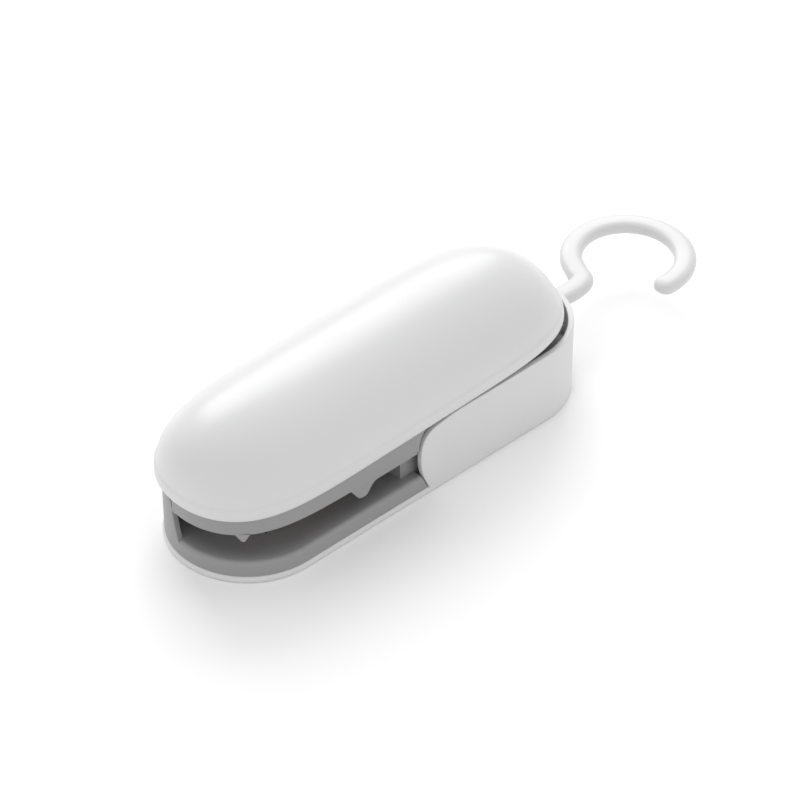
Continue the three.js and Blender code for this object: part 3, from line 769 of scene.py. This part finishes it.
def catmull(p0, p1, p2, p3, knots, t):
    def mix(a, b, ta, tb):
        w = (t - ta) / (tb - ta)
        return tuple(u * (1 - w) + v * w for u, v in zip(a, b))

    k0, k1, k2, k3 = knots
    a1, a2, a3 = mix(p0, p1, k0, k1), mix(p1, p2, k1, k2), mix(p2, p3, k2, k3)
    b1, b2 = mix(a1, a2, k0, k2), mix(a2, a3, k1, k3)
    return mix(b1, b2, k1, k2)


def bar_section(scale=1.0, count=32, squareness=2 / 2.7):
    """A flat oval bar with full sides: a superellipse, as half-sizes across and up."""
    ring = []
    for i in range(count):
        angle = 2 * math.pi * i / count
        ring.append((HOOK_HALF * scale * signed_power(math.cos(angle), squareness),
                     HOOK_BAR * scale * signed_power(math.sin(angle), squareness)))
    return ring


def make_hook():
    """The bar is swept along the path, and its tip is drawn in to a round end."""
    line = smooth_through(hook_path())
    rings = []
    for i, (x, y) in enumerate(line):
        ahead, behind = line[min(i + 1, len(line) - 1)], line[max(i - 1, 0)]
        dx, dy = ahead[0] - behind[0], ahead[1] - behind[1]
        length = math.hypot(dx, dy)
        rings.append(sweep_ring(x, y, dx / length, dy / length))
    last, before = line[-1], line[-2]
    length = math.dist(last, before)
    dx, dy = (last[0] - before[0]) / length, (last[1] - before[1]) / length
    for i in range(1, 10):
        angle = math.pi / 2 * i / 10
        reach = HOOK_HALF * math.sin(angle)
        rings.append(sweep_ring(last[0] + dx * reach, last[1] + dy * reach, dx, dy, math.cos(angle)))
    hook = new_piece("hook_fine", *skin(rings))
    face_out(hook)
    shank = rod("x", (HOOK_LOW.x, 0, HOOK_Z), SHANK_END - HOOK_LOW.x, HOOK_BAR - 0.02)
    core = rod("x", (GROOVE_START - 1, 0, HOOK_Z), GROOVE_WIDTH + 2, HOOK_BAR - GROOVE_DEPTH)
    groove = cut(rod("x", (GROOVE_START, 0, HOOK_Z), GROOVE_WIDTH, 4), core)
    join(hook, cut(shank, groove))
    crisp(hook, 50)
    place(hook, "hang_hook", "hook", "white_hook", hook_white(), "hook")


def sweep_ring(x, y, dx, dy, scale=1.0):
    """The bar's section square to a level direction dx, dy at x, y."""
    return [(x - dy * across, y + dx * across, HOOK_Z + up) for across, up in bar_section(scale)]


# ---- finishes -------------------------------------------------------------------------------

def finish(name, colour, roughness, bump_size, bump_height, metallic=0.0, coat=0.0, tint=0.015):
    """A moulded or metal surface: fine grain in its height, and uneven gloss and shade."""
    if name in bpy.data.materials:
        return bpy.data.materials[name]
    material = bpy.data.materials.new(name)
    material.use_nodes = True
    nodes, links = material.node_tree.nodes, material.node_tree.links
    shader = nodes["Principled BSDF"]
    shader.inputs["Metallic"].default_value = metallic
    shader.inputs["Coat Weight"].default_value = coat
    shader.inputs["Coat Roughness"].default_value = 0.22
    where = nodes.new("ShaderNodeTexCoord")

    def noise(scale, detail):
        texture = nodes.new("ShaderNodeTexNoise")
        texture.inputs["Scale"].default_value = scale
        texture.inputs["Detail"].default_value = detail
        links.new(where.outputs["Object"], texture.inputs["Vector"])
        return texture.outputs["Fac"]

    def spread(value, low, high):
        ramp = nodes.new("ShaderNodeMapRange")
        ramp.inputs["From Min"].default_value = 0.3
        ramp.inputs["From Max"].default_value = 0.7
        ramp.inputs["To Min"].default_value = low
        ramp.inputs["To Max"].default_value = high
        links.new(value, ramp.inputs["Value"])
        return ramp.outputs["Result"]

    links.new(spread(noise(60, 3), roughness * 0.85, roughness * 1.15), shader.inputs["Roughness"])
    blend = nodes.new("ShaderNodeMix")
    blend.data_type = "RGBA"
    blend.inputs["A"].default_value = (*colour, 1)
    blend.inputs["B"].default_value = (*[c * (1 - 3 * tint) for c in colour], 1)
    links.new(spread(noise(25, 2), 0, 1), blend.inputs["Factor"])
    links.new(blend.outputs["Result"], shader.inputs["Base Color"])
    bump = nodes.new("ShaderNodeBump")
    bump.inputs["Strength"].default_value = 0.35
    bump.inputs["Distance"].default_value = bump_height * MM
    links.new(noise(1 / (bump_size * MM), 2), bump.inputs["Height"])
    links.new(bump.outputs["Normal"], shader.inputs["Normal"])
    return material


def gloss_white():
    return finish("gloss_white", (0.64, 0.64, 0.645), 0.34, 5, 0.02, coat=0.12, tint=0.006)


def satin_white():
    return finish("satin_white", (0.65, 0.65, 0.65), 0.38, 1.2, 0.015, tint=0.008)


def hook_white():
    return finish("hook_white", (0.62, 0.62, 0.62), 0.34, 1.5, 0.015, tint=0.006)


def grey_plastic():
    return finish("grey_plastic", (0.285, 0.282, 0.284), 0.42, 0.5, 0.02)


def metal(name, colour=(0.62, 0.62, 0.63), roughness=0.3):
    return finish(name, colour, roughness, 0.3, 0.006, metallic=1.0)


def dress_cad_nodes():
    """Finishes for the inner pieces whose CAD shape is shown as it is."""
    looks = {
        "hinge_pin": metal("pin_steel"),
        "hook_clip": metal("clip_steel", (0.55, 0.55, 0.57)),
        "contact_spring_front": metal("contact_wire", (0.72, 0.7, 0.66), 0.25),
        "contact_spring_rear": metal("contact_wire"),
        "contact_plate_negative": metal("contact_sheet", (0.72, 0.7, 0.66), 0.35),
        "contact_plate_positive": metal("contact_sheet"),
        "contact_bridge": metal("contact_sheet"),
        "heating_strip": metal("ribbon_alloy", (0.45, 0.42, 0.4), 0.4),
        "battery_left": finish("cell_sleeve", (0.03, 0.12, 0.3), 0.3, 4, 0.01),
        "battery_right": finish("cell_sleeve", (0.03, 0.12, 0.3), 0.3, 4, 0.01),
        "heater_block": finish("heat_proof_brown", (0.03, 0.022, 0.018), 0.65, 0.4, 0.03),
        "heater_cover": finish("coated_glass_cloth", (0.35, 0.23, 0.12), 0.5, 0.6, 0.05),
        "switch_body": finish("switch_black", (0.02, 0.02, 0.022), 0.45, 0.4, 0.02),
        "switch_plunger": finish("switch_red", (0.4, 0.03, 0.02), 0.4, 0.4, 0.02),
        "pad_holder": finish("carrier_grey", (0.2, 0.205, 0.21), 0.5, 0.5, 0.02),
        "silicone_pad": finish("silicone_red", (0.24, 0.05, 0.03), 0.7, 0.8, 0.03),
        "lead_negative": finish("lead_black", (0.015, 0.015, 0.015), 0.45, 0.8, 0.02),
        "lead_positive": finish("lead_red", (0.42, 0.02, 0.015), 0.45, 0.8, 0.02),
        "lead_heater": finish("lead_red", (0.42, 0.02, 0.015), 0.45, 0.8, 0.02),
    }
    for node in BASE_SCREWS + [f"cover_screw_{i}" for i in (1, 2, 3)]:
        looks[node] = metal("screw_zinc", (0.55, 0.56, 0.58), 0.35)
    for node, material in looks.items():
        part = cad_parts[node]
        part.data.materials.clear()
        part.data.materials.append(material)


make_studio()
make_base_shell()
make_battery_door()
make_lower_jaw()
make_upper_jaw()
make_top_cover()
make_return_spring()
make_hook()
dress_cad_nodes()
